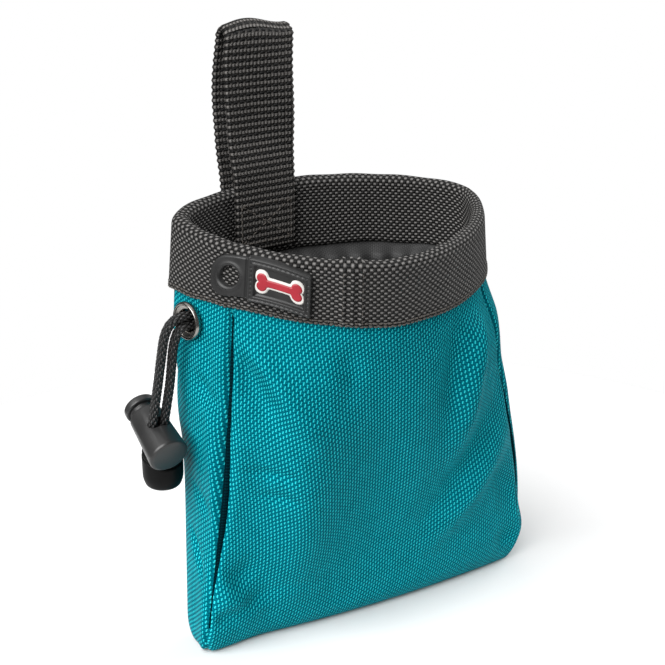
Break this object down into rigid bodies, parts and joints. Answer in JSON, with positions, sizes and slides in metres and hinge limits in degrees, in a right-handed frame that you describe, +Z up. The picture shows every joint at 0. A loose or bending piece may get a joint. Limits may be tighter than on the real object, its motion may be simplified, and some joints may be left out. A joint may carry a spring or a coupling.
{
  "type": "drawstring treat pouch",
  "caption": "Soft turquoise nylon treat pouch with a dark webbing mouth, a webbing belt loop, a rubber badge, and a drawstring with a spring cord lock.",
  "frame": {"origin": "centre of the underside, on the surface that the pouch stands on", "axes": "+Z up, -Y towards the pouch's bulging front, +Y towards the wearer's belt, -X towards the gusset with the eyelet"},
  "size_m": [0.1598, 0.0864, 0.2213],
  "materials": {
    "nylon": "coarse basket-woven nylon, low sheen",
    "webbing": "charcoal webbing, ribbed weave",
    "lining": "smooth dark lining cloth",
    "rubber": "moulded matte rubber",
    "emblem": "moulded red inlay",
    "nickel": "polished nickel plate",
    "cord": "braided cord",
    "plastic": "satin injection-moulded plastic",
    "spring_steel": "plain wire"
  },
  "bodies": {
    "pouch": {"body_panel": "nylon", "left_gusset": "nylon", "right_gusset": "nylon", "lining": "lining", "mouth_binding": "webbing", "belt_loop": "webbing", "badge_patch": "rubber", "badge_frame": "rubber", "badge_emblem": "emblem", "eyelet_flange": "nickel", "eyelet_washer": "nickel", "drawstring": "cord"},
    "hanging_cord": {"cord_strand_outer": "cord", "cord_strand_inner": "cord", "cord_end_cup": "plastic", "cord_end_cap": "plastic", "cord_knot": "cord"},
    "cord_lock": {"lock_barrel": "plastic", "lock_spring": "spring_steel"},
    "plunger": {"lock_plunger": "plastic"}
  },
  "joints": [
    {"name": "cord_swing", "type": "hinge", "parent": "pouch", "child": "hanging_cord", "pos_m": [-0.069, -0.0019, 0.1276], "axis": [-1, 0, 0], "range_deg": [-20, 35], "deforming": ["drawstring"]},
    {"name": "lock_slide", "type": "slide", "parent": "hanging_cord", "child": "cord_lock", "axis": [-0.05, -0.22, 0.9742], "range_m": [0, 0.012], "deforming": ["cord_strand_outer", "cord_strand_inner"]},
    {"name": "plunger_press", "type": "slide", "parent": "cord_lock", "child": "plunger", "axis": [0.0349, -0.9057, -0.4226], "range_m": [0, 0.002], "stiffness_N_per_m": 600, "springref_m": -0.001, "deforming": ["lock_spring"]}
  ]
}
